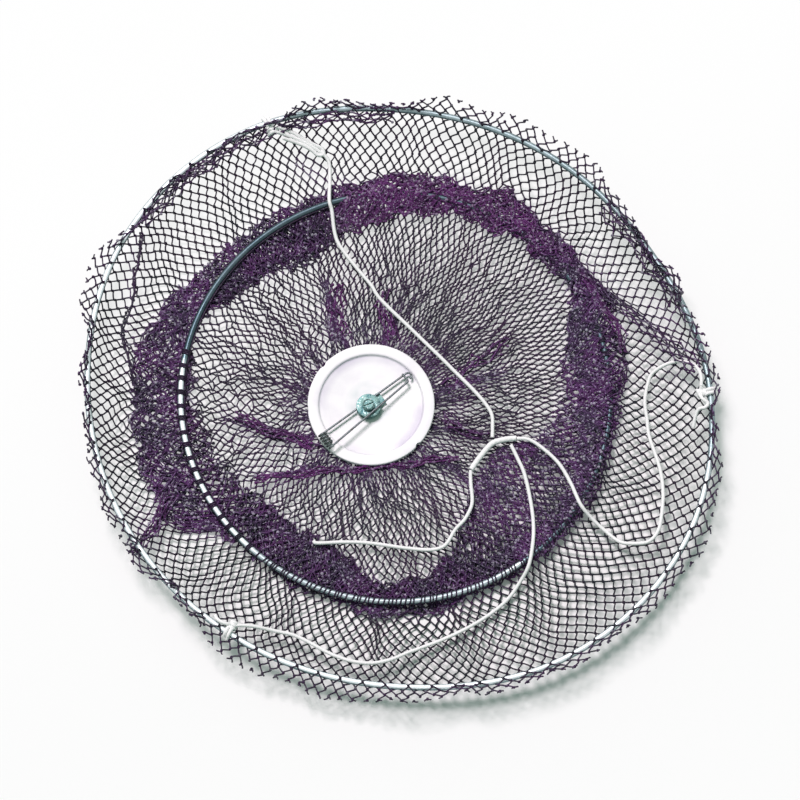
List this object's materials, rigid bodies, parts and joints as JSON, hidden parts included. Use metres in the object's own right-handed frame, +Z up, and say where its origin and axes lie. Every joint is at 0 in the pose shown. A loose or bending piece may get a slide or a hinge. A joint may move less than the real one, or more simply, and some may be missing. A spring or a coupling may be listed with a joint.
{
  "type": "shrimp drop net",
  "caption": "Collapsed shrimp drop net: large and small wire hoops, knotted net basket, white bait dish with spring clip, and a corded bridle with haul tail.",
  "frame": {"origin": "on the surface that the net lies on, below the centre of the large hoop", "axes": "+Z up, out of the net's mouth; +X to the bridle knot on the hoop's right side, as the picture shows it; +Y to the back"},
  "size_m": [0.3032, 0.2945, 0.0155],
  "materials": {
    "hoop_wire": "galvanised, satin",
    "netting": "dark aubergine knotted nylon twine",
    "dish_plastic": "white, semi-gloss, turned marks",
    "zinc_hardware": "zinc plated, grey-green",
    "clip_steel": "dark spring wire",
    "cord_braid": "white braided nylon"
  },
  "bodies": {
    "base": {"lower_hoop": "hoop_wire", "floor_net": "netting", "slack_net": "netting", "bait_dish": "dish_plastic", "backing_disc": "dish_plastic", "hub_screw": "zinc_hardware", "hub_nut": "zinc_hardware", "lower_washer": "zinc_hardware", "upper_washer": "zinc_hardware"},
    "rim": {"upper_hoop": "hoop_wire", "wall_net": "netting", "hoop_knot_a": "cord_braid", "hoop_knot_b": "cord_braid", "hoop_knot_c": "cord_braid", "bridle_cord_a": "cord_braid", "bridle_cord_b": "cord_braid", "bridle_cord_c": "cord_braid"},
    "bridle": {"bridle_join": "cord_braid", "haul_tail": "cord_braid"},
    "clip": {"clip_wire": "clip_steel", "clip_plate": "zinc_hardware"},
    "arm": {"clip_arm": "clip_steel"}
  },
  "joints": [
    {"name": "basket_lift", "type": "slide", "parent": "base", "child": "rim", "axis": [0, 0, 1], "range_m": [0, 0.13], "deforming": ["wall_net"]},
    {"name": "bridle_lift", "type": "slide", "parent": "rim", "child": "bridle", "axis": [0, 0, 1], "range_m": [0, 0.12]},
    {"name": "clip_swivel", "type": "hinge", "parent": "base", "child": "clip", "pos_m": [-0.0144, -0.0056, 0.0067], "axis": [0, 0, 1], "continuous": true},
    {"name": "clip_open", "type": "hinge", "parent": "clip", "child": "arm", "pos_m": [-0.03551, -0.02162, 0.0084], "axis": [0.6046, -0.7965, 0], "range_deg": [0, 60], "stiffness_Nm_per_rad": 0.004, "springref_deg": -20.05}
  ]
}
